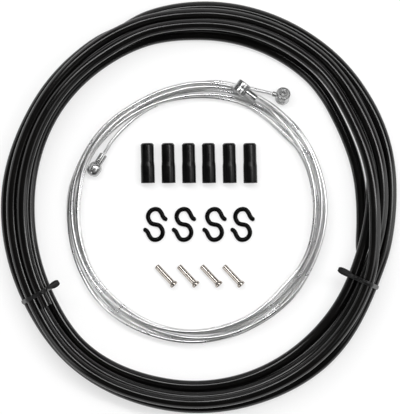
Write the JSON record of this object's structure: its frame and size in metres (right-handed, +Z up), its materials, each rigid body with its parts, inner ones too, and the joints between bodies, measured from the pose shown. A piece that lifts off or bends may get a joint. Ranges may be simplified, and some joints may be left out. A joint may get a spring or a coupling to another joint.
{
  "type": "bicycle brake cable",
  "caption": "Coiled brake cable casing held by ties, laid round its coiled inner wires with cast heads and its ferrules, S hooks and end crimps.",
  "frame": {"origin": "centre of the bounding box at the surface that everything rests on", "axes": "+X and +Y across the coil, +Z up"},
  "size_m": [0.174, 0.1807, 0.0216],
  "materials": {
    "casing": "smooth black plastic sheath",
    "tie": "moulded black plastic",
    "ferrule": "moulded black plastic",
    "hook": "satin black coating",
    "wire": "galvanised stranded steel",
    "head": "bare zinc casting",
    "crimp": "bright plated"
  },
  "bodies": {
    "root": {"outer_casing": "casing", "tie_left": "tie", "tie_right": "tie", "inner_wire_long": "wire", "inner_wire_short": "wire", "head_long_a": "head", "head_long_b": "head", "head_short": "head", "ferrule_1": "ferrule", "ferrule_2": "ferrule", "ferrule_3": "ferrule", "ferrule_4": "ferrule", "ferrule_5": "ferrule", "ferrule_6": "ferrule", "hook_1": "hook", "hook_2": "hook", "hook_3": "hook", "hook_4": "hook", "crimp_1": "crimp", "crimp_2": "crimp", "crimp_3": "crimp", "crimp_4": "crimp"}
  },
  "joints": []
}
